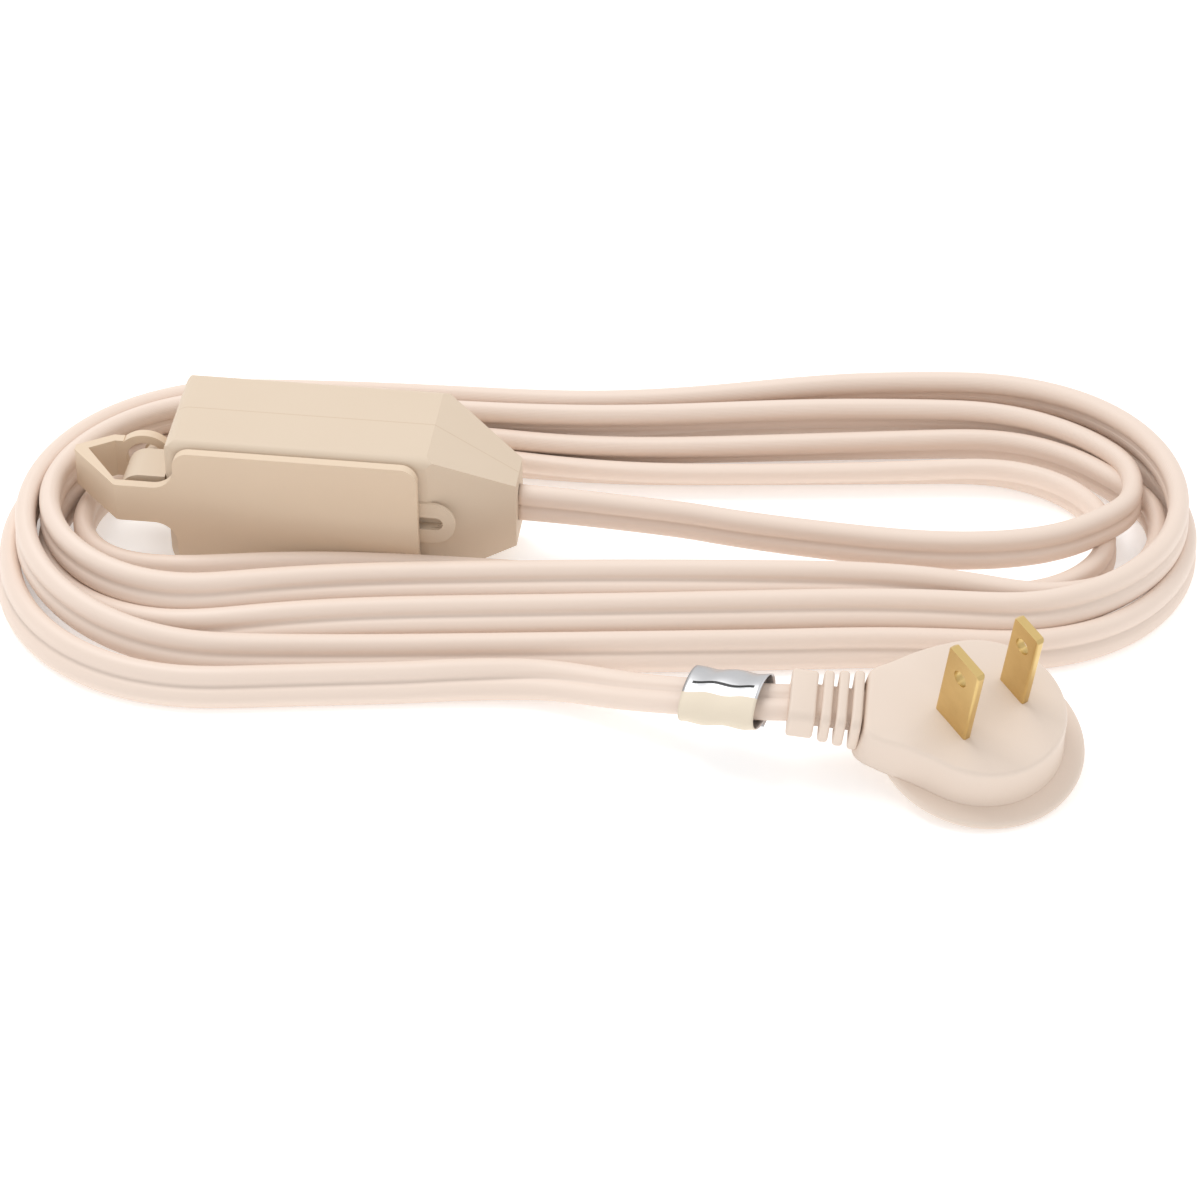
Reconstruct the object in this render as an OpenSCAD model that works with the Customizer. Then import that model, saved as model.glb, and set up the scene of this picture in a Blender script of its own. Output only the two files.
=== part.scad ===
// Household extension cord: long outlet block with a swinging safety cover, flat twin cord in a hank,
// and a flat plug with a round finger flange. Millimetres, +Z up.
// The block's straight sides run along X. The cord's hank and the plug lie on the floor around it.

/* [Outlet block] */
// Length of the block from its flat end to the cord end
block_length = 61.2; // [56:0.5:70]
// Length of the straight part before the taper
block_straight = 46.5; // [42:0.5:50]
// Thickness of the block, front to back
block_depth = 22; // [20:0.5:26]
// Height of the block
block_height = 26; // [24:0.5:30]
// Wall thickness of the two shells
block_wall = 2; // [1.5:0.1:3]
// Distance between the two slots of one outlet
slot_spacing = 12.7; // [12.7:0.1:12.7]
// Length of the neutral slot
neutral_slot = 8.6; // [8:0.1:9]
// Length of the line slot
line_slot = 7.0; // [6.6:0.1:7.4]
// Height of the slots
slot_height = 2.1; // [1.8:0.1:2.4]
// Position of the first front outlet
outlet_a = 14; // [12:0.5:16]
// Position of the second front outlet
outlet_b = 34; // [30:0.5:36]

/* [Safety cover] */
// Length of the cover plate
plate_length = 43; // [40:0.5:44]
// Thickness of the cover plate and strap
plate_thick = 1.7; // [1.4:0.1:2]
// Width of the strap
strap_width = 7.6; // [7:0.1:8.5]
// Outside radius of the ring
ring_outer = 5.3; // [5:0.1:5.4]
// Radius of the hole in the ring
ring_hole = 3.6; // [3.4:0.1:3.8]
// Radius of the peg
peg_radius = 1.8; // [1.5:0.1:2]

/* [Cord] */
// Width of the flat twin cord
cord_width = 7.2; // [6.8:0.1:7.6]
// Thickness of the flat twin cord
cord_thick = 3.6; // [3.4:0.1:3.8]
// Height of the wound hank
hank_height = 11; // [9:0.5:14]

/* [Plug] */
// Radius of the finger flange
flange_radius = 17.5; // [16.5:0.1:18]
// Thickness of the finger flange
flange_thick = 1.6; // [1.4:0.1:2]
// Radius of the plug face
face_radius = 13.7; // [13:0.1:14.5]
// Height of the plug face above the underside
plug_height = 9.5; // [9:0.1:11]
// Width of the plug neck
neck_width = 13.4; // [12:0.1:14]
// Length of the blades above the face
blade_length = 16.8; // [16:0.1:18]
// Width of the neutral blade
neutral_blade_width = 7.9; // [7.9:0.1:7.9]
// Width of the line blade
line_blade_width = 6.3; // [6.3:0.1:6.3]

/* [Hidden] */
$fn = 48;
blade_thick = 1.5;
// Position of the block's corner in the row frame
org = [-21.8, -9.85, 0];
// Turn of the hank relative to the block
turn = 7;
// Peg and ring centres
peg_x = -4.3;
ring_x = -5.6;
pivot_z = 14;
// Cord entry height
exit_z = 10.5;
mid_y = block_depth / 2;
zn = block_height / 2 - slot_spacing / 2;
zl = block_height / 2 + slot_spacing / 2;
zm = block_height / 2;
// Plug pose in the hank's frame
plug_pos = [63, -44, 4.5];
plug_tilt = 14;
plug_roll = 4;
plug_yaw = -6;
neck_end = -20;
relief_end = -32.4;
core_z = 5;
// Turn of the blade pair, and how far the raised face stands off the flange's centre
blade_turn = 40;
face_shift = [-0.7, 0.8, 0];
tan = [0.86, 0.78, 0.67];
cream = [0.92, 0.86, 0.79];
brass = [0.80, 0.64, 0.32];
dark = [0.30, 0.28, 0.26];

// ---- helpers ----
module in_row() {
  translate(org) children();
}
// Frame of the hank: turned about the vertical, with its own origin
module in_hank() {
  translate(org) rotate([0, 0, turn]) translate([76.3, -11.2, 0]) children();
}
module in_plug() {
  in_hank() translate(plug_pos) rotate([plug_tilt, 0, 0]) rotate([0, plug_roll, 0])
    rotate([0, 0, plug_yaw]) children();
}
// Outline in X and Z, pushed along Y from y0 to y1
module xz(y0, y1) {
  translate([0, y1, 0]) rotate([90, 0, 0]) linear_extrude(y1 - y0) children();
}
module round_rect(x0, y0, x1, y1, r) {
  translate([x0 + r, y0]) square([x1 - x0 - 2 * r, y1 - y0]);
  translate([x0, y0 + r]) square([x1 - x0, y1 - y0 - 2 * r]);
  for (x = [x0 + r, x1 - r], y = [y0 + r, y1 - r]) translate([x, y]) circle(r);
}
module block_form() {
  intersection() {
    linear_extrude(block_height) {
      round_rect(0, 0, block_straight, block_depth, 2.2);
      polygon([[10, 0], [block_straight, 0], [block_length, 6.75], [block_length, 15.25],
        [block_straight, block_depth], [10, block_depth]]);
    }
    xz(0, block_depth) {
      round_rect(0, 0, block_straight, block_height, 3);
      polygon([[10, 0], [block_straight, 0], [block_length, 4], [block_length, 17],
        [block_straight, block_height], [10, block_height]]);
    }
    rotate([90, 0, 90]) linear_extrude(block_length) round_rect(0, 0, block_depth, block_height, 2);
  }
}
module twin(x0, x1, z, r) {
  for (s = [-1, 1]) translate([x0, mid_y, z + s * cord_thick / 2]) rotate([0, 90, 0])
    cylinder(h = x1 - x0, r = r);
  translate([x0, mid_y - 1.2, z - 1.8]) cube([x1 - x0, 2.4, 3.6]);
}
module shell_cavity() {
  translate([block_wall, block_wall, block_wall])
    cube([44 - block_wall, block_depth - 2 * block_wall, block_height - 2 * block_wall]);
  twin(43, block_length + 1, exit_z, cord_thick / 2);
}
module slot_pair(x, y0, y1) {
  translate([x - neutral_slot / 2, y0, zn - slot_height / 2]) cube([neutral_slot, y1 - y0, slot_height]);
  translate([x - line_slot / 2, y0, zl - slot_height / 2]) cube([line_slot, y1 - y0, slot_height]);
}

// ---- outlet block ----
module front_shell() {
  color(tan) in_row() {
    difference() {
      union() {
        intersection() {
          block_form();
          translate([-1, -1, -1]) cube([80, mid_y + 1, 40]);
        }
        // raised rim round the latch slot
        xz(-0.5, 0.2) {
          translate([40, zm - 4.2]) square([7.3, 8.4]);
          translate([40, zm]) circle(4.2);
          translate([47.3, zm]) circle(4.2);
        }
      }
      shell_cavity();
      slot_pair(outlet_a, -1, block_wall + 0.5);
      slot_pair(outlet_b, -1, block_wall + 0.5);
      xz(-1, 1.6) {
        translate([42, zm - 1.3]) square([6, 2.6]);
        translate([48, zm]) circle(1.3);
        translate([42, zm]) circle(1.3);
      }
    }
    // lug on the flat end, with the peg that carries the cover's ring
    xz(0.8, 8.8) {
      translate([peg_x, pivot_z - 4]) square([-peg_x, 8]);
      translate([peg_x, pivot_z]) circle(4);
    }
    xz(8.8, 13.4) translate([peg_x, pivot_z]) circle(peg_radius);
    xz(13.4, 14.4) translate([peg_x, pivot_z]) circle(peg_radius + 0.4);
  }
}
module rear_shell() {
  color(tan) in_row() difference() {
    intersection() {
      block_form();
      translate([-1, mid_y, -1]) cube([80, mid_y + 1, 40]);
    }
    shell_cavity();
    slot_pair(24, block_depth - block_wall - 0.5, block_depth + 1);
  }
}
// Wall that keeps the two bus bars apart
module slot_divider() {
  color(tan) in_row() translate([block_wall, block_wall, 12])
    cube([36, block_depth - 2 * block_wall, 2]);
}
// Stamped bar with pairs of spring leaves behind each slot
module bus(z0, z1, zc) {
  translate([5, 9.5, z0]) cube([36, 0.8, z1 - z0]);
  for (x = [outlet_a, outlet_b], s = [-1, 1]) {
    translate([x - 3, 3.5, zc + s * 1.2 - 0.3]) cube([6, 6, 0.6]);
  }
  for (s = [-1, 1]) translate([21, 10.3, zc + s * 1.2 - 0.3]) cube([6, 8, 0.6]);
}
module line_bus() {
  color(brass) in_row() bus(14, block_height - block_wall, zl);
}
module neutral_bus() {
  color(brass) in_row() bus(block_wall, 12, zn);
}
module line_core() {
  color(brass) in_row() {
    translate([39, 11, 15]) cube([1.8, 1.4, 3], center = true);
    translate([38.5, 11, 15.4]) rotate([0, 117.5, 0]) cylinder(h = 6.2, r = 0.7);
  }
}
module neutral_core() {
  color(brass) in_row() {
    translate([38, 11, exit_z - 1.8]) cube([3, 1.4, 2.4], center = true);
    translate([38, 11, exit_z - 1.8]) rotate([0, 90, 0]) cylinder(h = 6, r = 0.7);
  }
}
module cord_root() {
  color(cream) in_row() twin(44, block_length, exit_z, cord_thick / 2);
}

// ---- safety cover: plate, strap, fold and ring in one piece ----
module safety_cover() {
  h = strap_width / 2;
  color(tan) in_row() {
    xz(-0.6 - plate_thick, -0.6) {
      round_rect(2.2, 1.5, 2.2 + plate_length, block_height - 0.5, 3);
      translate([-8, pivot_z - h]) square([14, 2 * h]);
      difference() {
        translate([-1.8, pivot_z - h - 4]) square([6, 2 * h + 8]);
        for (s = [-1, 1]) translate([-1.8, pivot_z + s * (h + 4)]) circle(4);
      }
    }
    translate([0, 0, pivot_z - h]) linear_extrude(2 * h) polygon([[-8, -0.6], [-8, -2.3], [-8.6, -2.1],
      [-17.6, 7.2], [-17.6, 8.6], [-11.5, 12.4], [-9.5, 12.4], [-9.5, 10.6], [-11, 10.6],
      [-15.2, 7.9], [-8.6, -0.6]]);
    xz(10.6, 12.4) difference() {
      union() {
        translate([ring_x, pivot_z]) circle(ring_outer);
        translate([-11.2, pivot_z - 2.6]) square([2.8, 5.2]);
      }
      translate([ring_x, pivot_z]) circle(ring_hole);
    }
  }
}

// ---- cord ----
// Routes in the hank's frame: x, y, z of the cord's middle
lead_route = [[-14.2, 14.66, 10.5], [-4, 13.4, 10.4], [6, 12, 10], [18, 10, 9.4], [30, 7.6, 8.6],
  [42, 4.8, 7.6], [54, 1.6, 6.6], [64, -1.4, 6], [73, -4.6, 5.6]];
tail_route = [[-26, -24.6, 3.8], [-18, -26, 3.8], [-10, -27.4, 4], [-2, -29.4, 4.8], [5, -32, 6.4],
  [11, -35.4, 8.6], [16, -38.4, 10.4], [21, -40.6, 11.5], [26, -42, 12.1], [31.2, -42.5, 12.3]];
// Turn of the flat section about the route: 90 is on edge, 0 is lying flat
lead_roll = [90, 90, 90, 90, 90, 90, 90, 90, 90];
tail_roll = [20, 24, 28, 34, 36, 34, 30, 26, 20, 14];

function unit(v) = v / norm(v);
function tangent(p, i) = unit(p[min(i + 1, len(p) - 1)] - p[max(i - 1, 0)]);
function section(a, k) = [cord_width / 2 * 0.98 * cos(a * 360 / k), cord_thick / 2 * 0.98 * sin(a * 360 / k)];
function ring_at(p, r, i, k) = let (t = tangent(p, i), side = unit(cross([0, 0, 1], t)), up = cross(t, side),
  u = side * cos(r[i]) + up * sin(r[i]), v = up * cos(r[i]) - side * sin(r[i]))
  [for (a = [0 : k - 1]) let (s = section(a, k)) p[i] + u * s[0] + v * s[1]];
module tube(p, r, k = 10) {
  n = len(p);
  pts = [for (i = [0 : n - 1]) each ring_at(p, r, i, k)];
  sides = [for (i = [0 : n - 2], a = [0 : k - 1]) each [
    [i * k + a, i * k + (a + 1) % k, (i + 1) * k + (a + 1) % k],
    [i * k + a, (i + 1) * k + (a + 1) % k, (i + 1) * k + a]]];
  ends = concat([[for (a = [k - 1 : -1 : 0]) a]], [[for (a = [0 : k - 1]) (n - 1) * k + a]]);
  polyhedron(points = pts, faces = [for (f = concat(sides, ends)) [for (j = [len(f) - 1 : -1 : 0]) f[j]]]);
}
module cord_lead() {
  color(cream) in_hank() tube(lead_route, lead_roll);
}
module cord_tail() {
  color(cream) in_hank() tube(tail_route, tail_roll);
}
// Outline with half-round ends
module long_round(cx, cy, half_l, half_w) {
  translate([cx - half_l + half_w, cy - half_w]) square([2 * (half_l - half_w), 2 * half_w]);
  for (s = [-1, 1]) translate([cx + s * (half_l - half_w), cy]) circle(half_w, $fn = 96);
}
module cord_coil() {
  color(cream) in_hank() linear_extrude(hank_height) difference() {
    long_round(0.5, 13.5, 107, 38.5);
    long_round(0, 15.5, 95, 19.5);
  }
}
// Foil label bent loosely round the cord
module cord_tag() {
  color([0.75, 0.75, 0.76]) in_hank() translate([21.5, -40.8, 11.7]) rotate([0, -10, -18]) rotate([28, 0, 0])
    translate([-6.7, 0, 0]) rotate([90, 0, 90]) linear_extrude(13.4) difference() {
      round_rect(-5.7, -3.2, 5.7, 3.2, 2.6);
      round_rect(-5.3, -2.8, 5.3, 2.8, 2.2);
    }
}

// ---- plug ----
module neck_form(h) {
  linear_extrude(h) polygon([[neck_end, -neck_width / 2], [-16, -neck_width / 2 - 0.8], [-7.5, -11.6],
    [0, -11.6], [0, 11.6], [-7.5, 11.6], [-16, neck_width / 2 + 0.8], [neck_end, neck_width / 2]]);
}
module core_pair(x0, x1, r) {
  for (s = [-1, 1]) translate([x0, s * cord_thick / 2, core_z]) rotate([0, 90, 0]) cylinder(h = x1 - x0, r = r);
}
// Places the two blades: s is 1 for line, -1 for neutral
module at_blade(s) {
  translate(face_shift) rotate([0, 0, blade_turn]) translate([s * slot_spacing / 2, 0, 0]) children();
}
module plug_body() {
  color(cream) in_plug() difference() {
    union() {
      cylinder(h = flange_thick, r = flange_radius);
      translate(face_shift + [0, 0, flange_thick])
        cylinder(h = plug_height - flange_thick, r1 = 14.6, r2 = face_radius);
      translate([0, 0, 1]) neck_form(plug_height - 1.6);
    }
    translate(face_shift + [0, 0, 2.4]) cylinder(h = 5, r = 10.6);
    core_pair(neck_end - 1, -9, 0.7);
    for (s = [-1, 1]) at_blade(s) translate([0, 0, 8]) {
      cube([blade_thick, s > 0 ? line_blade_width : neutral_blade_width, 6], center = true);
    }
  }
}
module strain_relief() {
  color(cream) in_plug() difference() {
    union() {
      translate([relief_end, -5.3, core_z - 3.3]) cube([4.4, 10.6, 6.6]);
      for (i = [0 : 2]) translate([-26.4 + i * 2.3, -5.5 - i * 0.25, core_z - 3.5])
        cube([1.2, 11 + i * 0.5, 7]);
      translate([-28.2, -4.2, core_z - 2.4]) cube([8.2, 8.4, 4.8]);
    }
    core_pair(relief_end - 1, neck_end + 1, 0.7);
  }
}
// Last stretch of the line conductor, which turns across the carrier to the far blade
module line_bend() {
  translate([-3.5, cord_thick / 2, core_z]) rotate([0, 90, 22]) cylinder(h = 7.8, r = 0.65);
}
// Inner carrier that holds the blades apart
module plug_bridge() {
  color(dark) in_plug() difference() {
    translate(face_shift + [0, 0, 2.4]) cylinder(h = 5, r = 10.6);
    for (s = [-1, 1]) at_blade(s) translate([0, 0, 7]) {
      cube([blade_thick, s > 0 ? line_blade_width : neutral_blade_width, 6], center = true);
    }
    core_pair(-12, -3, 0.7);
    line_bend();
  }
}
module blade(w) {
  difference() {
    translate([0, 0, 4]) linear_extrude(plug_height + blade_length - 4)
      round_rect(-blade_thick / 2, -w / 2, blade_thick / 2, w / 2, 0.45);
    translate([0, 0, plug_height + 12.4]) rotate([0, 90, 0]) cylinder(h = 4, r = 1.5, center = true);
    for (s = [-1, 1]) translate([0, s * w / 2, plug_height + blade_length]) rotate([45, 0, 0])
      cube([4, 0.8, 0.8], center = true);
  }
}
module line_blade() {
  color(brass) in_plug() at_blade(1) blade(line_blade_width);
}
module neutral_blade() {
  color(brass) in_plug() at_blade(-1) blade(neutral_blade_width);
}
module plug_core(s) {
  translate([relief_end, s * cord_thick / 2, core_z]) rotate([0, 90, 0]) cylinder(h = -3 - relief_end, r = 0.7);
}
module plug_line_core() {
  color(brass) in_plug() {
    plug_core(1);
    line_bend();
  }
}
module plug_neutral_core() {
  color(brass) in_plug() plug_core(-1);
}

front_shell();
rear_shell();
slot_divider();
line_bus();
neutral_bus();
line_core();
neutral_core();
cord_root();
safety_cover();
cord_lead();
cord_coil();
cord_tail();
cord_tag();
strain_relief();
plug_body();
plug_bridge();
line_blade();
neutral_blade();
plug_line_core();
plug_neutral_core();
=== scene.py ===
"""Looks of a household extension cord: outlet block with a swinging cover, flat twin cord in a hank,
foil tag, strain relief and a flat two-blade plug. Lengths in the tables are millimetres in the hank's
own frame or a piece's own frame; meshes are metres in the row frame."""
from math import radians

import bmesh
import bpy
import numpy as np
from mathutils import Matrix, Vector
from bpy.props import FloatProperty, FloatVectorProperty, PointerProperty


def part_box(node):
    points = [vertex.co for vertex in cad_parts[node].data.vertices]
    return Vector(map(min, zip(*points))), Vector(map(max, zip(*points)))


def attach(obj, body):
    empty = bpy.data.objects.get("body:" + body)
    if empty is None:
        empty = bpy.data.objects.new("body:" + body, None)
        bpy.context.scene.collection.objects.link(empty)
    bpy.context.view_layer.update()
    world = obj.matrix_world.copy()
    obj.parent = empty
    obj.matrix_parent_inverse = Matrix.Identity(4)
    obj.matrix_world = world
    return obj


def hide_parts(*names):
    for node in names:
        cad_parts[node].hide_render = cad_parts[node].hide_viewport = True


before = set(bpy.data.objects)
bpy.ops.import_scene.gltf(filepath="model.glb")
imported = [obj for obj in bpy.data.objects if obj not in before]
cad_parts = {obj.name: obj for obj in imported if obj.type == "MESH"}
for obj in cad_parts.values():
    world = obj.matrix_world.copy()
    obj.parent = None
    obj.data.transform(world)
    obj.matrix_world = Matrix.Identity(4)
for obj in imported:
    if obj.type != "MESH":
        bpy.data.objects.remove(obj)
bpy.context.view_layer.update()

bl_info = {
    "name": "Extension Cord",
    "version": (1, 0, 0),
    "blender": (4, 5, 0),
    "location": "View3D > Sidebar > Cord",
    "description": "Builds an extension cord in a hank with its outlet block and plug",
    "category": "Add Mesh",
}

MM = 0.001
ROOT = "cord_set"
COVER = "cover"

# Refined CAD copies: the angle in degrees past which an edge counts as sharp, and its rounding.
SHARP_ANGLE = 28
EDGE_SEGMENTS = 3
COVER_EDGE = 0.4
# Ribs of the strain relief: points round a rib, and the rounding of its ends.
BAR_SIDES = 32
BAR_LIP = 0.5
# Half thickness of the line where the block's two shells meet, in metres.
SEAM_HALF = 0.00013
# How far the plug's raised face stands off the flange's centre.
FACE_SHIFT = np.array([-0.7, 0.8])
# Camera: degrees above the floor, distance and lens. Lights: place, size and power.
CAMERA_RISE = 38.5
CAMERA_DISTANCE = 700.0
SENSOR_WIDTH = 36.0
LENS_LENGTH = 119.7
WORLD_LIGHT = 0.80
LIGHTS = (("key", (-240, 200, 640), 360, 1.75), ("rim", (380, 120, 420), 300, 0.25))


# ---- frames -------------------------------------------------------------------------------------

def turn_x(deg):
    """Rotation matrix about X."""
    c, s = np.cos(radians(deg)), np.sin(radians(deg))
    return np.array([[1, 0, 0], [0, c, -s], [0, s, c]])


def turn_y(deg):
    """Rotation matrix about Y."""
    c, s = np.cos(radians(deg)), np.sin(radians(deg))
    return np.array([[c, 0, s], [0, 1, 0], [-s, 0, c]])


def turn_z(deg):
    """Rotation matrix about Z."""
    c, s = np.cos(radians(deg)), np.sin(radians(deg))
    return np.array([[c, -s, 0], [s, c, 0], [0, 0, 1]])


BLOCK_CORNER = np.array([-21.8, -9.85, 0.0])
HANK_TURN = 7.0
HANK_SHIFT = np.array([76.3, -11.2, 0.0])
PLUG_POS = np.array([63.0, -44.0, 4.5])
PLUG_TURN = turn_x(14) @ turn_y(4) @ turn_z(-6)


def from_hank(points):
    """Hank frame to row frame: shift to the block's corner, turn about Z, then move to the origin."""
    return (np.asarray(points, float) + HANK_SHIFT) @ turn_z(HANK_TURN).T + BLOCK_CORNER


def from_plug(points):
    """Plug frame to row frame, through the hank frame."""
    return from_hank(np.asarray(points, float) @ PLUG_TURN.T + PLUG_POS)


# ---- shader expressions ---------------------------------------------------------------------------

class Field:
    """A socket that Python arithmetic can be written on. Each operation adds one Math node."""

    def __init__(self, tree, socket):
        self.tree, self.socket = tree, socket

    def math(self, operation, a, b=None):
        node = self.tree.nodes.new("ShaderNodeMath")
        node.operation = operation
        for slot, value in zip(node.inputs, (a, b)):
            if isinstance(value, Field):
                self.tree.links.new(value.socket, slot)
            elif value is not None:
                slot.default_value = value
        return Field(self.tree, node.outputs[0])

    def __add__(self, other):
        return self.math("ADD", self, other)

    def __radd__(self, other):
        return self.math("ADD", other, self)

    def __sub__(self, other):
        return self.math("SUBTRACT", self, other)

    def __rsub__(self, other):
        return self.math("SUBTRACT", other, self)

    def __mul__(self, other):
        return self.math("MULTIPLY", self, other)

    def __rmul__(self, other):
        return self.math("MULTIPLY", other, self)

    def __gt__(self, other):
        return self.math("GREATER_THAN", self, other)

    def sine(self):
        return self.math("SINE", self)

    def absolute(self):
        return self.math("ABSOLUTE", self)


class Finish:
    """A material with one Principled shader, and short ways to add nodes."""

    def __init__(self, name, colour, roughness, metallic=0.0, **fixed):
        self.material = bpy.data.materials.new(name)
        self.material.use_nodes = True
        self.tree = self.material.node_tree
        self.shader = self.tree.nodes["Principled BSDF"]
        self.colour = (*colour, 1.0)
        self.shader.inputs["Base Color"].default_value = self.colour
        self.shader.inputs["Roughness"].default_value = roughness
        self.shader.inputs["Metallic"].default_value = metallic
        for socket, value in fixed.items():
            self.shader.inputs[socket.replace("_", " ")].default_value = value
        self.material.diffuse_color = self.colour

    def node(self, kind, settings=None, **inputs):
        """Adds a node of that kind. Settings are set first, then values or links of its sockets."""
        node = self.tree.nodes.new(kind)
        for key, value in (settings or {}).items():
            setattr(node, key, value)
        for key, value in inputs.items():
            socket = node.inputs[key.replace("_", " ")]
            if isinstance(value, Field):
                self.tree.links.new(value.socket, socket)
            elif isinstance(value, bpy.types.NodeSocket):
                self.tree.links.new(value, socket)
            else:
                socket.default_value = value
        return node

    def place(self):
        """Object coordinates."""
        return self.node("ShaderNodeTexCoord").outputs["Object"]

    def noise(self, scale, detail=3.0, vector=None):
        node = self.node("ShaderNodeTexNoise", Vector=vector or self.place(), Scale=scale, Detail=detail)
        return Field(self.tree, node.outputs["Fac"])

    def along(self):
        """The piece's own UV map as two fields: round the section, and along the length in metres."""
        split = self.node("ShaderNodeSeparateXYZ", Vector=self.node("ShaderNodeTexCoord").outputs["UV"])
        return Field(self.tree, split.outputs[0]), Field(self.tree, split.outputs[1])

    def tint(self, amount, colour):
        """Mixes the base colour towards another where amount is high."""
        mix = self.node("ShaderNodeMix", {"data_type": "RGBA"})
        self.tree.links.new(amount.socket, mix.inputs[0])
        mix.inputs[6].default_value = self.colour
        mix.inputs[7].default_value = (*colour, 1.0)
        self.tree.links.new(mix.outputs[2], self.shader.inputs["Base Color"])

    def rough(self, amount):
        self.tree.links.new(amount.socket, self.shader.inputs["Roughness"])

    def relief(self, height, strength, distance):
        bump = self.node("ShaderNodeBump", Height=height, Strength=strength, Distance=distance)
        self.tree.links.new(bump.outputs["Normal"], self.shader.inputs["Normal"])


def moulded_plastic(name, colour, shade, roughness, seam=None):
    """Moulded vinyl: nearly even colour, faint cloudiness, fine matte grain. seam is the Y, in metres, of
    the plane where two shells meet, which shows as a fine dark line."""
    finish = Finish(name, colour, roughness, Specular_IOR_Level=0.4)
    cloud = finish.noise(60.0, 2.0)
    grain = finish.noise(2600.0, 2.0)
    mark = cloud * 0.35
    height = grain
    if seam is not None:
        split = finish.node("ShaderNodeSeparateXYZ", Vector=finish.place())
        joint = 1 - ((Field(finish.tree, split.outputs[1]) - seam).absolute() > SEAM_HALF)
        mark = mark + joint
        height = grain - joint * 4.0
    finish.tint(mark, shade)
    finish.rough(roughness + cloud * 0.12)
    finish.relief(height, 0.12, 0.00008)
    return finish.material


def extruded_vinyl(name, colour, shade, roughness, ridge_count):
    """Cord jacket: faint scuffs along the length and fine ridges on one conductor's side."""
    finish = Finish(name, colour, roughness, Specular_IOR_Level=0.6)
    around = finish.along()[0]
    scuff = finish.noise(35.0, 3.0)
    ridges = (around * (ridge_count * 6.2832)).sine() * (around > 0.62) * 0.5
    finish.tint(scuff * 0.4, shade)
    finish.rough(roughness + scuff * 0.15)
    finish.relief(ridges + finish.noise(900.0, 1.0) * 0.4, 0.22, 0.00012)
    return finish.material


def stamped_brass(name, colour, shade):
    """Brass strip: drawn lines, dull spots."""
    finish = Finish(name, colour, 0.3, 1.0)
    stretch = finish.node("ShaderNodeMapping", Vector=finish.place(), Scale=(4.0, 4.0, 0.25))
    drawn = finish.noise(900.0, 3.0, stretch.outputs[0])
    spots = finish.noise(350.0, 4.0)
    finish.tint(spots * 0.7, shade)
    finish.rough(0.22 + spots * 0.22)
    finish.relief(drawn, 0.12, 0.00005)
    return finish.material


def foil(name, colour, shade, paper):
    """Printed label: foil with soft creases, a plain paper-coloured band, one thin dark rule."""
    finish = Finish(name, colour, 0.34, 0.85)
    crease = finish.noise(260.0, 3.0)
    around, along = finish.along()
    band = (around > 0.58) * (1 - (around > 0.84))
    rule = (around > 0.515) * (1 - (around > 0.53)) * (along > 0.0012) * (1 - (along > 0.0122))
    finish.tint(crease * 0.45, shade)
    metal = finish.shader.inputs["Base Color"].links[0].from_socket
    for amount, ink in ((band, paper), (rule, (0.05, 0.05, 0.05))):
        mix = finish.node("ShaderNodeMix", {"data_type": "RGBA"})
        finish.tree.links.new(amount.socket, mix.inputs[0])
        finish.tree.links.new(metal, mix.inputs[6])
        mix.inputs[7].default_value = (*ink, 1.0)
        metal = mix.outputs[2]
    finish.tree.links.new(metal, finish.shader.inputs["Base Color"])
    finish.tree.links.new((0.85 - 0.8 * band).socket, finish.shader.inputs["Metallic"])
    finish.rough(0.24 + crease * 0.2 + band * 0.25)
    finish.relief(crease, 0.3, 0.0003)
    return finish.material


# ---- mesh helpers -----------------------------------------------------------------------------------

def add_piece(name, points, faces, material, body, replaces, uv=None):
    """Makes a smooth mesh object from arrays: points in metres, faces as index rows."""
    mesh = bpy.data.meshes.new(name)
    mesh.from_pydata(np.asarray(points).tolist(), [], faces)
    if uv is not None:
        loops = np.empty(len(mesh.loops), np.int32)
        mesh.loops.foreach_get("vertex_index", loops)
        layer = mesh.uv_layers.new(name="UVMap")
        layer.data.foreach_set("uv", uv[loops].ravel())
    mesh.materials.append(material)
    mesh.polygons.foreach_set("use_smooth", np.full(len(mesh.polygons), True))
    mesh.update()
    piece = bpy.data.objects.new(name, mesh)
    bpy.context.scene.collection.objects.link(piece)
    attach(piece, body)
    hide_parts(*replaces)
    return piece


def grid_faces(rows, columns, wrap=True, caps=True):
    """Quads between neighbouring rows of a grid whose rows are closed rings, with flat end caps."""
    last = columns if wrap else columns - 1
    i, j = np.meshgrid(np.arange(rows - 1), np.arange(last), indexing="ij")
    k = (j + 1) % columns
    quads = np.stack([i * columns + j, i * columns + k, (i + 1) * columns + k, (i + 1) * columns + j], -1)
    faces = quads.reshape(-1, 4).tolist()
    if caps:
        faces.append(list(range(columns))[::-1])
        faces.append([(rows - 1) * columns + c for c in range(columns)])
    return faces


def outward(piece):
    """Recalculates normals so that faces point out."""
    work = bmesh.new()
    work.from_mesh(piece.data)
    bmesh.ops.recalc_face_normals(work, faces=work.faces)
    work.to_mesh(piece.data)
    work.free()


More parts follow.
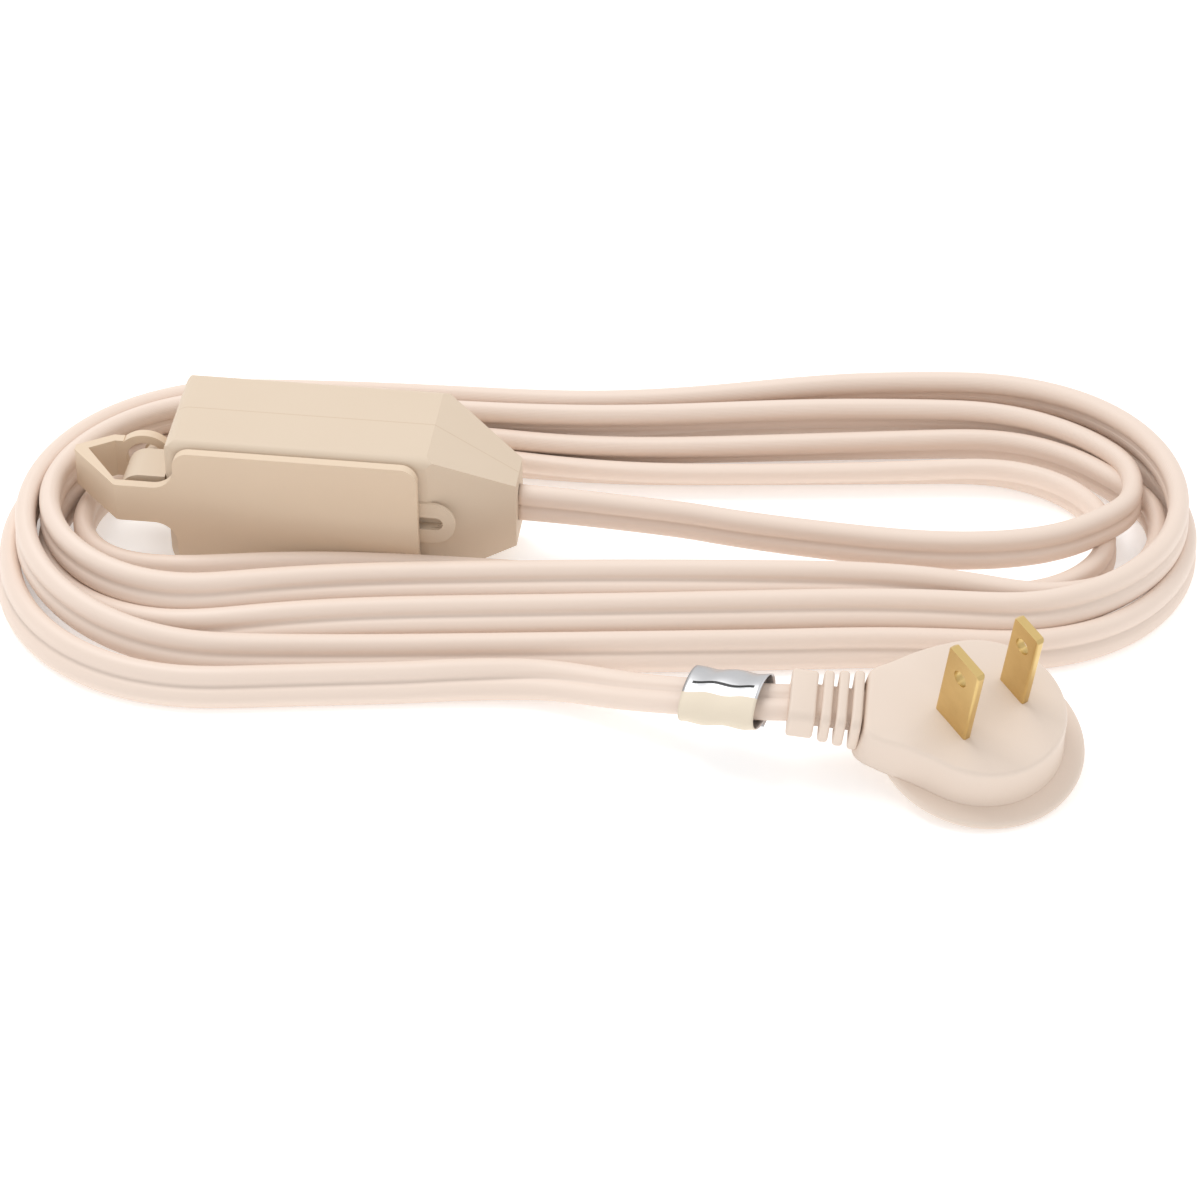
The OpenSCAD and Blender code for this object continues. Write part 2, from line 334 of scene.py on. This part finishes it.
def refined(node, material, body, edge=0.0):
    """A merged copy of a CAD node, standing for it. Edges sharper than SHARP_ANGLE stay sharp, or are
    rounded over edge millimetres."""
    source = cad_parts[node]
    work = bmesh.new()
    work.from_mesh(source.data)
    bmesh.ops.remove_doubles(work, verts=work.verts, dist=2e-6)
    bmesh.ops.dissolve_limit(work, angle_limit=radians(1.0), verts=work.verts, edges=work.edges)
    mesh = bpy.data.meshes.new(node + "_look")
    work.to_mesh(mesh)
    work.free()
    mesh.materials.clear()
    mesh.materials.append(material)
    mesh.polygons.foreach_set("use_smooth", np.full(len(mesh.polygons), True))
    mesh.set_sharp_from_angle(angle=radians(SHARP_ANGLE))
    piece = bpy.data.objects.new(node + "_look", mesh)
    bpy.context.scene.collection.objects.link(piece)
    if edge:
        bevel = piece.modifiers.new("edge", "BEVEL")
        bevel.width = edge * MM
        bevel.segments = EDGE_SEGMENTS
        bevel.limit_method = "ANGLE"
        bevel.angle_limit = radians(SHARP_ANGLE)
        bevel.harden_normals = True
    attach(piece, body)
    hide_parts(node)
    return piece


# ---- cord -----------------------------------------------------------------------------------------

# Middle of the hank, half length to the outermost strand's middle, and half width.
HANK_MIDDLE = np.array([0.8, 12.2])
HANK_STRAIGHT = 65.0
HANK_END = 38.6
HANK_SIDE = 37.4
# Places round the hank as fractions of one turn, from the right end through the back.
PLACES = {"R": 0.0, "BR": 0.16, "BM": 0.25, "BL": 0.34, "L": 0.5,
          "FLL": 0.56, "FL": 0.65, "FM": 0.76, "FR": 0.86}
# For each turn: place, distance in from the outermost strand, height of the middle, lean from flat.
TURNS = [
    [("R", 7.8, 7.4, 90), ("BR", 3.4, 8.6, 64), ("BM", 8.0, 9.4, 60), ("BL", 7.2, 11.0, 80),
     ("L", 4.8, 11.0, 90), ("FL", 19.6, 9.2, 56), ("FM", 19.6, 10.0, 48), ("FR", 20.0, 9.2, 60)],
    [("R", 5.2, 4.2, 90), ("BR", 10.4, 5.8, 60), ("BM", 13.4, 6.4, 56), ("BL", 10.4, 4.4, 80),
     ("L", 9.8, 4.2, 90), ("FLL", 25.0, 5.4, 80), ("FL", 27.6, 6.2, 66), ("FM", 25.0, 4.0, 56),
     ("FR", 21.0, 3.8, 60)],
    [("R", 14.6, 3.8, 90), ("BR", 16.6, 3.2, 40), ("BM", 17.0, 3.0, 44), ("BL", 7.6, 3.9, 80),
     ("L", 5.0, 4.0, 90), ("FL", 12.0, 7.6, 52), ("FM", 13.2, 7.6, 48), ("FR", 14.2, 8.2, 56)],
    [("R", 1.6, 10.8, 90), ("BR", -2.6, 10.4, 60), ("BM", 4.6, 9.4, 56), ("BL", 3.2, 10.8, 80),
     ("L", 1.0, 10.8, 90), ("FL", 5.6, 4.4, 56), ("FM", 6.2, 4.8, 58), ("FR", 8.4, 4.0, 66)],
    [("R", 0.0, 3.8, 90), ("BR", 0.4, 3.8, 72), ("BM", 4.6, 3.6, 64), ("BL", 3.4, 3.8, 84),
     ("L", -1.4, 3.8, 86), ("FLL", -4.6, 3.6, 56), ("FL", -1.6, 3.4, 50)],
]
# From the block to the first turn, and from the last turn to the plug: place and lean.
LEAD = [(-14.2, 14.66, 10.5, 90), (-4, 13.3, 10.3, 90), (8, 11.4, 10.0, 90), (24, 8.6, 9.8, 86),
        (40, 5.6, 9.8, 80), (56, 3.0, 9.8, 78), (70, 2.4, 9.8, 80), (82, 4.8, 9.2, 86),
        (90.4, 10.2, 8.4, 90), (94.6, 17.0, 7.8, 90)]
TAIL = [(-22, -26.0, 3.5, 48), (-16, -26.0, 3.5, 42), (-9, -26.4, 3.8, 30), (-2, -29.2, 4.8, 24),
        (5, -33.0, 6.6, 18), (12, -36.8, 9.0, 14), (18, -39.4, 10.6, 12), (23, -41.2, 11.5, 10),
        (27, -42.1, 11.9, 8), (31.8, -42.6, 12.25, 6)]
# Spacing of the cord's rings, points round the cord, depth of the groove down its middle.
CORD_STEP = 0.8
CORD_SIDES = 44
GROOVE = 0.6
# Settling: passes, spacing of its coarser points, how many neighbours along the line are let touch, how
# much of a push is taken in one pass, the longest step, the sink of each pass and the clearance aimed at.
PASSES = 70
SETTLE_STEP = 3.2
NEIGHBOURS = 10
PUSH_SHARE = 0.3
LONGEST_STEP = 0.6
SINK = 0.015
CLEARANCE = 0.1


def hank_point(turn_fraction, inset):
    """Oval of two straights and two half ellipses, walked counter-clockwise from the right end."""
    f = np.mod(turn_fraction, 1.0)
    end, side = HANK_END - inset * 0.92, HANK_SIDE - inset
    quarter, straight = 0.12, 0.26
    angle = np.select(
        [f < quarter, f < quarter + straight, f < 3 * quarter + straight, f < 1 - quarter],
        [f / quarter * np.pi / 2, np.pi / 2, np.pi / 2 + (f - quarter - straight) / (2 * quarter) * np.pi,
         1.5 * np.pi], (f - 1) / quarter * np.pi / 2)
    run = np.select(
        [f < quarter, f < quarter + straight, f < 3 * quarter + straight, f < 1 - quarter],
        [1.0, 1 - 2 * (f - quarter) / straight, -1.0,
         -1 + 2 * (f - 3 * quarter - straight) / straight], 1.0)
    x = HANK_MIDDLE[0] + HANK_STRAIGHT * run + end * np.cos(angle)
    y = HANK_MIDDLE[1] + side * np.sin(angle)
    return x, y


def smooth_run(values, width):
    """Running average with a bell-shaped weight; the ends are held."""
    weight = np.hanning(2 * width + 3)[1:-1]
    padded = np.concatenate([np.repeat(values[:1], width, 0), values, np.repeat(values[-1:], width, 0)])
    kept = [np.convolve(padded[:, c], weight / weight.sum(), "valid") for c in range(values.shape[1])]
    return np.stack(kept, 1)


def even_steps(points, step):
    """Resamples rows of numbers whose first three are a place, at even distance along the line."""
    gap = np.linalg.norm(np.diff(points[:, :3], axis=0), axis=1)
    along = np.concatenate([[0], np.cumsum(gap)])
    at = np.linspace(0, along[-1], int(along[-1] / step) + 1)
    return np.stack([np.interp(at, along, points[:, c]) for c in range(points.shape[1])], 1)


def through(points, count=40):
    """Cubic curve through the points (Catmull-Rom)."""
    p = np.asarray(points, float)
    p = np.concatenate([[2 * p[0] - p[1]], p, [2 * p[-1] - p[-2]]])
    t = np.linspace(0, 1, count, endpoint=False)[:, None]
    runs = []
    for a, b, c, d in zip(p[:-3], p[1:-2], p[2:-1], p[3:]):
        runs.append(0.5 * (2 * b + (c - a) * t + (2 * a - 5 * b + 4 * c - d) * t ** 2
                           + (3 * b - a - 3 * c + d) * t ** 3))
    return np.concatenate(runs + [p[-2:-1]])


def settled(route, width, thick):
    """Moves strands that overlap apart. Each point stands for its two conductors; conductors of different
    turns closer than a thickness push each other off, nothing sinks into the floor, and the line is
    eased after every pass, as a change from where it started so that loops keep their size. The first
    and last stretches are held."""
    start = route[:, :3].copy()
    place = start.copy()
    lobe = (width - thick) / 2
    number = np.arange(len(place))
    far = np.abs(number[:, None] - number[None]) > NEIGHBOURS
    hold = np.clip(np.minimum((number - 3) / 8, (len(place) - 14 - number) / 8), 0, 1)[:, None]
    for _ in range(PASSES):
        ahead = np.gradient(place, axis=0)
        ahead /= np.linalg.norm(ahead, axis=1)[:, None]
        side = np.cross([0, 0, 1.0], ahead)
        side /= np.linalg.norm(side, axis=1)[:, None]
        up = np.cross(ahead, side)
        lean = np.radians(route[:, 3])[:, None]
        across = lobe * (side * np.cos(lean) + up * np.sin(lean))
        push = np.zeros_like(place)
        for one in (-1, 1):
            for other in (-1, 1):
                gap = (place + one * across)[:, None] - (place + other * across)[None]
                size = np.linalg.norm(gap, axis=2) + 1e-6
                press = np.where(far, np.clip(thick + CLEARANCE - size, 0, None), 0)
                touching = np.maximum((press > 0).sum(1), 1)[:, None]
                push += PUSH_SHARE * (gap / size[..., None] * press[..., None]).sum(1) / touching
        step = np.clip(push, -LONGEST_STEP, LONGEST_STEP)
        step[:, 2] -= SINK
        place += step * hold
        floor = np.abs(across[:, 2]) + thick / 2
        place[:, 2] += np.clip(floor - place[:, 2], 0, None) * hold[:, 0]
        moved = place - start
        moved[1:-1] = 0.5 * moved[1:-1] + 0.25 * (moved[:-2] + moved[2:])
        place = start + moved * hold
    return np.concatenate([place, route[:, 3:]], 1)


def cord_route(width, thick):
    """Rows of x, y, z, lean: the lead, every turn of the hank, then the tail, in the hank frame."""
    stops = np.array([(turn + PLACES[place], inset, height, lean)
                      for turn, row in enumerate(TURNS) for place, inset, height, lean in row])
    f = np.arange(stops[0, 0], stops[-1, 0], 0.002)
    inset, height, lean = (np.interp(f, stops[:, 0], stops[:, c]) for c in (1, 2, 3))
    eased = smooth_run(np.stack([inset, height, lean], 1), 30)
    x, y = hank_point(f, eased[:, 0])
    turns = np.stack([x, y, eased[:, 1], eased[:, 2]], 1)
    keep = slice(14, len(turns) - 8)
    whole = np.concatenate([even_steps(through(LEAD), 1.0), turns[keep], even_steps(through(TAIL), 1.0)])
    whole = even_steps(whole, CORD_STEP)
    eased = smooth_run(whole, 12)
    eased[0], eased[-1] = whole[0], whole[-1]
    coarse = settled(even_steps(eased, SETTLE_STEP), width, thick)
    return even_steps(through(coarse, 8), CORD_STEP)


def twin_section(width, thick, groove, count):
    """Outline of the flat cord: a bar with half-round edges and a narrow groove down the middle of each
    face, between the two conductors."""
    a = np.arange(count) / count * 2 * np.pi
    x = width / 2 * np.sign(np.cos(a)) * np.abs(np.cos(a)) ** 0.9
    lobe = thick / 2
    beyond = np.clip(np.abs(x) - (width / 2 - lobe), 0, lobe)
    crown = 0.12 * np.cos(np.clip(np.abs(np.abs(x) - (width / 2 - lobe)) / lobe, 0, 1) * np.pi / 2)
    y = np.sqrt(np.clip(lobe ** 2 - beyond ** 2, 0, None)) + crown - 0.12 - groove * np.exp(-(x / 0.5) ** 2)
    return np.stack([x, np.sign(np.round(np.sin(a), 6)) * np.clip(y, 0, None)], 1)


def sweep(route, section):
    """Carries a flat outline along a route. The outline's X leans from level by the route's fourth value."""
    p = route[:, :3]
    ahead = np.gradient(p, axis=0)
    ahead /= np.linalg.norm(ahead, axis=1)[:, None]
    side = np.cross([0, 0, 1.0], ahead)
    side /= np.linalg.norm(side, axis=1)[:, None]
    up = np.cross(ahead, side)
    lean = np.radians(route[:, 3])[:, None]
    u = side * np.cos(lean) + up * np.sin(lean)
    v = up * np.cos(lean) - side * np.sin(lean)
    return p[:, None] + section[None, :, :1] * u[:, None] + section[None, :, 1:] * v[:, None]


# ---- properties -----------------------------------------------------------------------------------

class CordLooks(bpy.types.PropertyGroup):
    """Sizes and colours of the cord."""
    width: FloatProperty(name="Width", description="Width of the flat twin cord", default=7.2 * MM,
                         unit="LENGTH", subtype="DISTANCE")
    thick: FloatProperty(name="Thickness", description="Thickness of the flat twin cord", default=3.6 * MM,
                         unit="LENGTH", subtype="DISTANCE")
    colour: FloatVectorProperty(name="Colour", description="Jacket colour", subtype="COLOR",
                                default=(0.84, 0.70, 0.605), min=0, max=1)
    shade: FloatVectorProperty(name="Shade", description="Worn jacket colour", subtype="COLOR",
                               default=(0.79, 0.635, 0.53), min=0, max=1)


class BlockLooks(bpy.types.PropertyGroup):
    """Colours of the outlet block and its cover."""
    colour: FloatVectorProperty(name="Block", description="Block colour", subtype="COLOR",
                                default=(0.71, 0.585, 0.455), min=0, max=1)
    shade: FloatVectorProperty(name="Block shade", description="Cloudy patches", subtype="COLOR",
                               default=(0.65, 0.515, 0.385), min=0, max=1)
    cover: FloatVectorProperty(name="Cover", description="Cover colour", subtype="COLOR",
                               default=(0.775, 0.62, 0.465), min=0, max=1)
    edge: FloatProperty(name="Edge", description="Rounded edge of the block", default=0.35 * MM,
                        unit="LENGTH", subtype="DISTANCE")


class PlugLooks(bpy.types.PropertyGroup):
    """Sizes and colours of the plug, its blades and the tag."""
    colour: FloatVectorProperty(name="Plug", description="Plug colour", subtype="COLOR",
                                default=(0.80, 0.675, 0.58), min=0, max=1)
    shade: FloatVectorProperty(name="Plug shade", description="Cloudy patches", subtype="COLOR",
                               default=(0.76, 0.62, 0.51), min=0, max=1)
    brass: FloatVectorProperty(name="Brass", description="Blade colour", subtype="COLOR",
                               default=(0.76, 0.56, 0.24), min=0, max=1)
    foil: FloatVectorProperty(name="Foil", description="Tag colour", subtype="COLOR",
                              default=(0.70, 0.70, 0.71), min=0, max=1)


# ---- operators ------------------------------------------------------------------------------------

def aimed(place, target):
    """Matrix that stands at a place and looks at a target, both in millimetres in the row frame."""
    aim = Vector((np.asarray(target) - place).tolist())
    turn = aim.to_track_quat("-Z", "Y").to_matrix().to_4x4()
    return Matrix.Translation((np.asarray(place) * MM).tolist()) @ turn


class CORD_OT_stage(bpy.types.Operator):
    """Camera, floor and soft studio lights"""
    bl_idname = "cord.stage"
    bl_label = "Stage"

    def execute(self, context):
        rise = radians(CAMERA_RISE)
        middle = from_hank([0, 0, 0])
        place = from_hank([0, -CAMERA_DISTANCE * np.cos(rise), CAMERA_DISTANCE * np.sin(rise)])
        lens = bpy.data.cameras.new("camera")
        lens.sensor_width = SENSOR_WIDTH
        lens.lens = LENS_LENGTH
        lens.clip_start = 0.01
        camera = bpy.data.objects.new("camera", lens)
        camera.matrix_world = aimed(place, middle)
        context.scene.collection.objects.link(camera)
        context.scene.camera = camera

        bpy.ops.mesh.primitive_plane_add(size=6.0, location=(0, 0, -0.00005))
        floor = context.object
        floor.name = "floor"
        white = Finish("floor_white", (0.93, 0.93, 0.93), 0.9,
                       Emission_Color=(1, 1, 1, 1), Emission_Strength=0.3)
        floor.data.materials.append(white.material)

        world = bpy.data.worlds.new("studio")
        world.use_nodes = True
        world.node_tree.nodes["Background"].inputs[0].default_value = (1, 1, 1, 1)
        world.node_tree.nodes["Background"].inputs[1].default_value = WORLD_LIGHT
        context.scene.world = world
        for name, at, size, power in LIGHTS:
            light = bpy.data.lights.new(name, "AREA")
            light.size = size * MM
            light.energy = power
            lamp = bpy.data.objects.new(name, light)
            lamp.matrix_world = aimed(from_hank(at), middle)
            context.scene.collection.objects.link(lamp)
        context.scene.view_settings.view_transform = "Standard"
        return {"FINISHED"}


class CORD_OT_cord(bpy.types.Operator):
    """Flat twin cord from the block through the hank to the plug"""
    bl_idname = "cord.cord"
    bl_label = "Cord"

    def execute(self, context):
        looks = context.scene.cord_looks
        material = extruded_vinyl("cord_vinyl", looks.colour, looks.shade, 0.42, 60)
        route = cord_route(looks.width / MM, looks.thick / MM)
        section = twin_section(looks.width / MM, looks.thick / MM, GROOVE, CORD_SIDES)
        rings = from_hank(sweep(route, section).reshape(-1, 3)) * MM
        steps, around = len(route), len(section)
        round_cord = np.tile(np.arange(around) / around, steps)
        along_cord = np.repeat(np.arange(steps) * CORD_STEP * MM, around)
        uv = np.stack([round_cord, along_cord], 1)
        piece = add_piece("twin_cord", rings, grid_faces(steps, around), material, ROOT,
                          ("cord_lead", "cord_coil", "cord_tail", "cord_root"), uv=uv)
        outward(piece)
        path = from_hank(route[:, :3]) * MM
        length = float(np.linalg.norm(np.diff(path, axis=0), axis=1).sum())
        self.report({"INFO"}, f"cord {length:.3f} m")
        print("cord length", round(length, 3), "m")
        context.scene["cord_path"] = path[::3].ravel().tolist()
        context.scene["cord_length"] = length
        return {"FINISHED"}


def rounded_box(x0, x1, half_y, half_z, mid_z, radius):
    """Rings of a bar along X: rounded-rectangle outline, pulled in by a quarter round at both ends."""
    a = (np.arange(BAR_SIDES) + 0.5) / BAR_SIDES * 2 * np.pi
    corner = np.minimum(radius, min(half_y, half_z) * 0.98)
    cx, cz = half_y - corner, half_z - corner
    y = np.sign(np.cos(a)) * cx + corner * np.cos(a)
    z = np.sign(np.sin(a)) * cz + corner * np.sin(a)
    t = np.linspace(0, np.pi / 2, 5)
    lip = min(BAR_LIP, radius)
    xs = np.concatenate([x0 + lip * (1 - np.cos(t)), x1 - lip * (1 - np.cos(t[::-1]))])
    shrink = np.concatenate([lip * (1 - np.sin(t)), lip * (1 - np.sin(t[::-1]))])
    rings = [np.stack([np.full_like(y, x), y * (half_y - s) / half_y, mid_z + z * (half_z - s) / half_z], 1)
             for x, s in zip(xs, shrink)]
    return np.array(rings)


def joined(parts):
    """Joins several grids of closed rings, each with flat end caps, into one list of points and faces."""
    points, faces, start = [], [], 0
    for rings in parts:
        rows, columns = rings.shape[:2]
        faces += [[i + start for i in face] for face in grid_faces(rows, columns)]
        points.append(rings.reshape(-1, 3))
        start += rows * columns
    return np.concatenate(points), faces


class CORD_OT_plug(bpy.types.Operator):
    """Plug body with its flange and neck, strain relief, blades and inner parts"""
    bl_idname = "cord.plug"
    bl_label = "Plug"

    def execute(self, context):
        looks = context.scene.plug_looks
        vinyl = moulded_plastic("plug_vinyl", looks.colour, looks.shade, 0.46)
        brass = stamped_brass("blade_brass", looks.brass, (0.60, 0.42, 0.17))
        dark = Finish("bridge_plastic", (0.06, 0.05, 0.045), 0.5).material
        copper = Finish("copper_strand", (0.72, 0.36, 0.2), 0.3, 1.0).material

        # Drop-shaped outline: a circle that runs out along two tangents into the neck, cut off square.
        a = np.arange(180) / 180 * 2 * np.pi
        face_radius, neck_end, slope = 14.0, 20.0, radians(23)
        back = np.abs(a - np.pi)
        tangent = face_radius / np.cos(np.pi / 2 - slope - back).clip(0.05)
        square = neck_end / np.cos(back).clip(0.05)
        reach = np.where(back < np.pi / 2 - slope, np.minimum(tangent, square), face_radius)
        soft = np.hanning(9)[1:-1] / np.hanning(9)[1:-1].sum()
        reach = np.convolve(np.concatenate([reach[-3:], reach, reach[:3]]), soft, "valid")
        rim = np.stack([reach * np.cos(a), reach * np.sin(a)], 1)
        # Profile up the side: foot fillet, drafted wall, rounded shoulder, flat face.
        t = np.linspace(0, np.pi / 2, 7)
        levels = [(1.06, 1.4), (1.045, 1.9), (1.03, 2.6), (1.015, 5.0)]
        levels += [(1.0 - 0.055 * (1 - c), z) for c, z in zip(np.cos(t), 8.3 + 1.2 * np.sin(t))]
        levels += [(0.7, 9.52), (0.35, 9.53), (0.02, 9.53)]
        rings = np.array([np.column_stack([rim * k, np.full(len(rim), z)]) for k, z in levels])
        # The neck is a little lower than the face.
        run_out = np.clip((-rings[..., 0] - 11) / 7, 0, 1)
        rings[..., 2] -= 1.1 * run_out ** 2 * (3 - 2 * run_out) * (rings[..., 2] / 9.5) ** 2
        # The raised face stands a little off the flange's centre, and the shift dies out along the neck.
        weight = np.clip((rings[..., 0] + 18) / 10, 0, 1)[..., None]
        rings[..., :2] += weight * FACE_SHIFT
        # Finger flange: a disc with a round rim.
        t = np.linspace(-np.pi / 2, np.pi / 2, 9)
        disc = [(0.02, 0.0), (10.0, 0.0), (16.4, 0.0)]
        disc += [(16.7 + 0.8 * c, 0.8 + 0.8 * s) for c, s in zip(np.cos(t), np.sin(t))]
        disc += [(15.8, 1.62), (10.0, 1.7), (0.02, 1.7)]
        flange = np.array([np.column_stack([r * np.cos(a), r * np.sin(a), np.full(len(a), z)])
                           for r, z in disc])
        points, faces = joined([rings, flange])
        body = add_piece("plug_shell", from_plug(points) * MM, faces, vinyl, ROOT,
                         ("plug_body",))
        outward(body)

        ribs = [rounded_box(-32.4, -28.0, 5.3, 3.3, 5.0, 1.6)]
        ribs += [rounded_box(-27.1 + i * 2.5, -25.4 + i * 2.5, 5.5 + i * 0.3, 3.6 + i * 0.12, 5.0, 1.6)
                 for i in range(3)]
        ribs += [rounded_box(-28.4, -19.6, 3.75, 2.1, 5.0, 2.0)]
        points, faces = joined(ribs)
        relief = add_piece("strain_relief_look", from_plug(points) * MM, faces, vinyl, ROOT,
                           ("strain_relief",))
        outward(relief)
        refined("line_blade", brass, ROOT)
        refined("neutral_blade", brass, ROOT)
        refined("plug_bridge", dark, ROOT)
        for node in ("plug_line_core", "plug_neutral_core"):
            refined(node, copper, ROOT)
        return {"FINISHED"}


class CORD_OT_tag(bpy.types.Operator):
    """Foil tag bent loosely round the cord beside the plug"""
    bl_idname = "cord.tag"
    bl_label = "Tag"

    def execute(self, context):
        looks = context.scene.plug_looks
        silver = foil("tag_foil", looks.foil, (0.42, 0.42, 0.44), (0.80, 0.70, 0.56))
        # A strip wound a little past one turn: flat oval outline, the free end lifted.
        a = np.linspace(-0.62 * np.pi, 1.5 * np.pi, 64)
        lift = 1 + 0.22 * np.clip((-0.3 * np.pi - a) / (0.32 * np.pi), 0, 1)
        across, height = 5.7 * np.cos(a) * lift, 3.1 * np.sin(a) * lift
        x = np.linspace(-6.7, 6.7, 24)
        wave = 0.12 * np.sin(x[:, None] * 0.9 + a[None] * 2)
        strip = np.stack([np.repeat(x[:, None], 64, 1), across[None] + wave, height[None] + wave], -1)
        turn = turn_y(-10) @ turn_x(10)
        points = strip.reshape(-1, 3) @ (turn_z(-22) @ turn).T + [21.0, -40.4, 11.4]
        uv = np.stack([np.tile(np.arange(64) / 63, 24), np.repeat((x + 6.7) * MM, 64)], 1)
        faces = grid_faces(24, 64, wrap=False, caps=False)
        piece = add_piece("tag_look", from_hank(points) * MM, faces, silver, ROOT,
                          ("cord_tag",), uv=uv)
        wall = piece.modifiers.new("wall", "SOLIDIFY")
        wall.thickness = 0.16 * MM
        return {"FINISHED"}


class CORD_OT_block(bpy.types.Operator):
    """Outlet block shells, contacts and the swinging cover"""
    bl_idname = "cord.block"
    bl_label = "Block"

    def execute(self, context):
        looks = context.scene.block_looks
        seam = float(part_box("rear_shell")[0][1])
        tan = moulded_plastic("block_plastic", looks.colour, looks.shade, 0.5, seam)
        soft = moulded_plastic("cover_plastic", looks.cover, looks.shade, 0.5)
        brass = stamped_brass("contact_brass", (0.72, 0.52, 0.22), (0.5, 0.36, 0.15))
        copper = Finish("block_copper", (0.72, 0.36, 0.2), 0.3, 1.0).material
        edge = looks.edge / MM
        for node in ("front_shell", "rear_shell"):
            refined(node, tan, ROOT, edge)
        refined("slot_divider", tan, ROOT)
        for node in ("line_bus", "neutral_bus"):
            refined(node, brass, ROOT)
        for node in ("line_core", "neutral_core"):
            refined(node, copper, ROOT)
        refined("safety_cover", soft, COVER, COVER_EDGE)
        return {"FINISHED"}


class CORD_OT_declare(bpy.types.Operator):
    """Does nothing when run; the Cord step stores the cord's path and length."""
    bl_idname = "cord.declare"
    bl_label = "Declare cord"

    def execute(self, context):
        return {"FINISHED"}


class CORD_PT_panel(bpy.types.Panel):
    """Lists the build steps in the sidebar"""
    bl_idname = "CORD_PT_panel"
    bl_label = "Extension Cord"
    bl_space_type = "VIEW_3D"
    bl_region_type = "UI"
    bl_category = "Cord"

    def draw(self, context):
        for operator in OPERATORS:
            self.layout.operator(operator.bl_idname)
        for group, names in (("cord_looks", ("width", "thick", "colour", "shade")),
                             ("block_looks", ("colour", "shade", "cover", "edge")),
                             ("plug_looks", ("colour", "shade", "brass", "foil"))):
            for name in names:
                self.layout.prop(getattr(context.scene, group), name)


OPERATORS = (CORD_OT_stage, CORD_OT_cord, CORD_OT_plug, CORD_OT_tag, CORD_OT_block, CORD_OT_declare)
CLASSES = (CordLooks, BlockLooks, PlugLooks) + OPERATORS + (CORD_PT_panel,)


def register():
    for item in CLASSES:
        bpy.utils.register_class(item)
    bpy.types.Scene.cord_looks = PointerProperty(type=CordLooks)
    bpy.types.Scene.block_looks = PointerProperty(type=BlockLooks)
    bpy.types.Scene.plug_looks = PointerProperty(type=PlugLooks)


def unregister():
    del bpy.types.Scene.cord_looks, bpy.types.Scene.block_looks, bpy.types.Scene.plug_looks
    for item in reversed(CLASSES):
        bpy.utils.unregister_class(item)


def main():
    register()
    for step in ("stage", "cord", "plug", "tag", "block", "declare"):
        getattr(bpy.ops.cord, step)()


if __name__ == "__main__":
    main()
